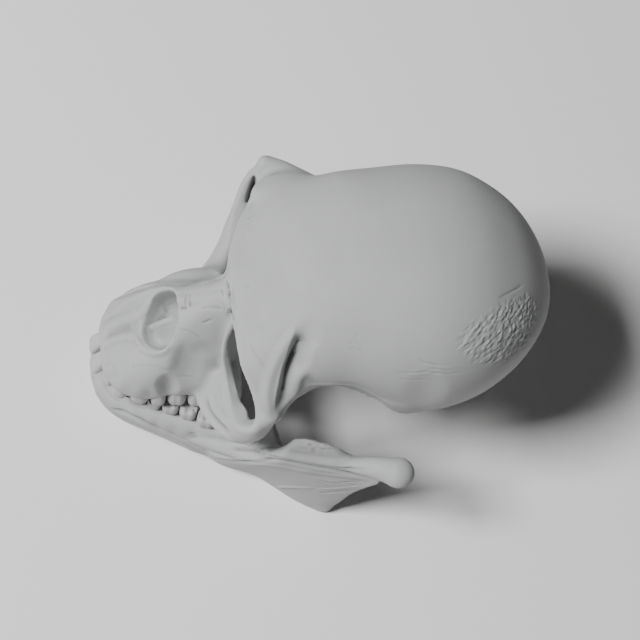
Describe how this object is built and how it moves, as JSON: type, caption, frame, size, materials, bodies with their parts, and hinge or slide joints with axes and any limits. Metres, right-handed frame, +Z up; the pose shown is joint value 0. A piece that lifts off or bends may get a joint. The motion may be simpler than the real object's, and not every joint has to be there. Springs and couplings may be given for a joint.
{
  "type": "fossil ape skull",
  "caption": "Fossil ape skull with a smooth open-based braincase, narrow see-through orbits, a broad snout, tooth rows and a loose lower jaw that carries it",
  "frame": {"origin": "middle of the bounding box on the ground plane, under the chin and the jaw's angles", "axes": "+X is the skull's left, +Y runs from the teeth to the back of the braincase, +Z is up with the biting plane level"},
  "size_m": [0.1142, 0.1496, 0.1091],
  "materials": {
    "bone": "matt",
    "enamel": "satin"
  },
  "bodies": {
    "root": {"cranium": "bone", "mandible": "bone", "upper_left_central_incisor": "enamel", "upper_left_lateral_incisor": "enamel", "upper_left_canine": "enamel", "upper_left_third_premolar": "enamel", "upper_left_fourth_premolar": "enamel", "upper_left_first_molar": "enamel", "upper_left_second_molar": "enamel", "upper_left_third_molar": "enamel", "upper_right_central_incisor": "enamel", "upper_right_lateral_incisor": "enamel", "upper_right_canine": "enamel", "upper_right_third_premolar": "enamel", "upper_right_fourth_premolar": "enamel", "upper_right_first_molar": "enamel", "upper_right_second_molar": "enamel", "upper_right_third_molar": "enamel", "lower_left_central_incisor": "enamel", "lower_left_lateral_incisor": "enamel", "lower_left_canine": "enamel", "lower_left_third_premolar": "enamel", "lower_left_fourth_premolar": "enamel", "lower_left_first_molar": "enamel", "lower_left_second_molar": "enamel", "lower_left_third_molar": "enamel", "lower_right_central_incisor": "enamel", "lower_right_lateral_incisor": "enamel", "lower_right_canine": "enamel", "lower_right_third_premolar": "enamel", "lower_right_fourth_premolar": "enamel", "lower_right_first_molar": "enamel", "lower_right_second_molar": "enamel", "lower_right_third_molar": "enamel"}
  },
  "joints": []
}
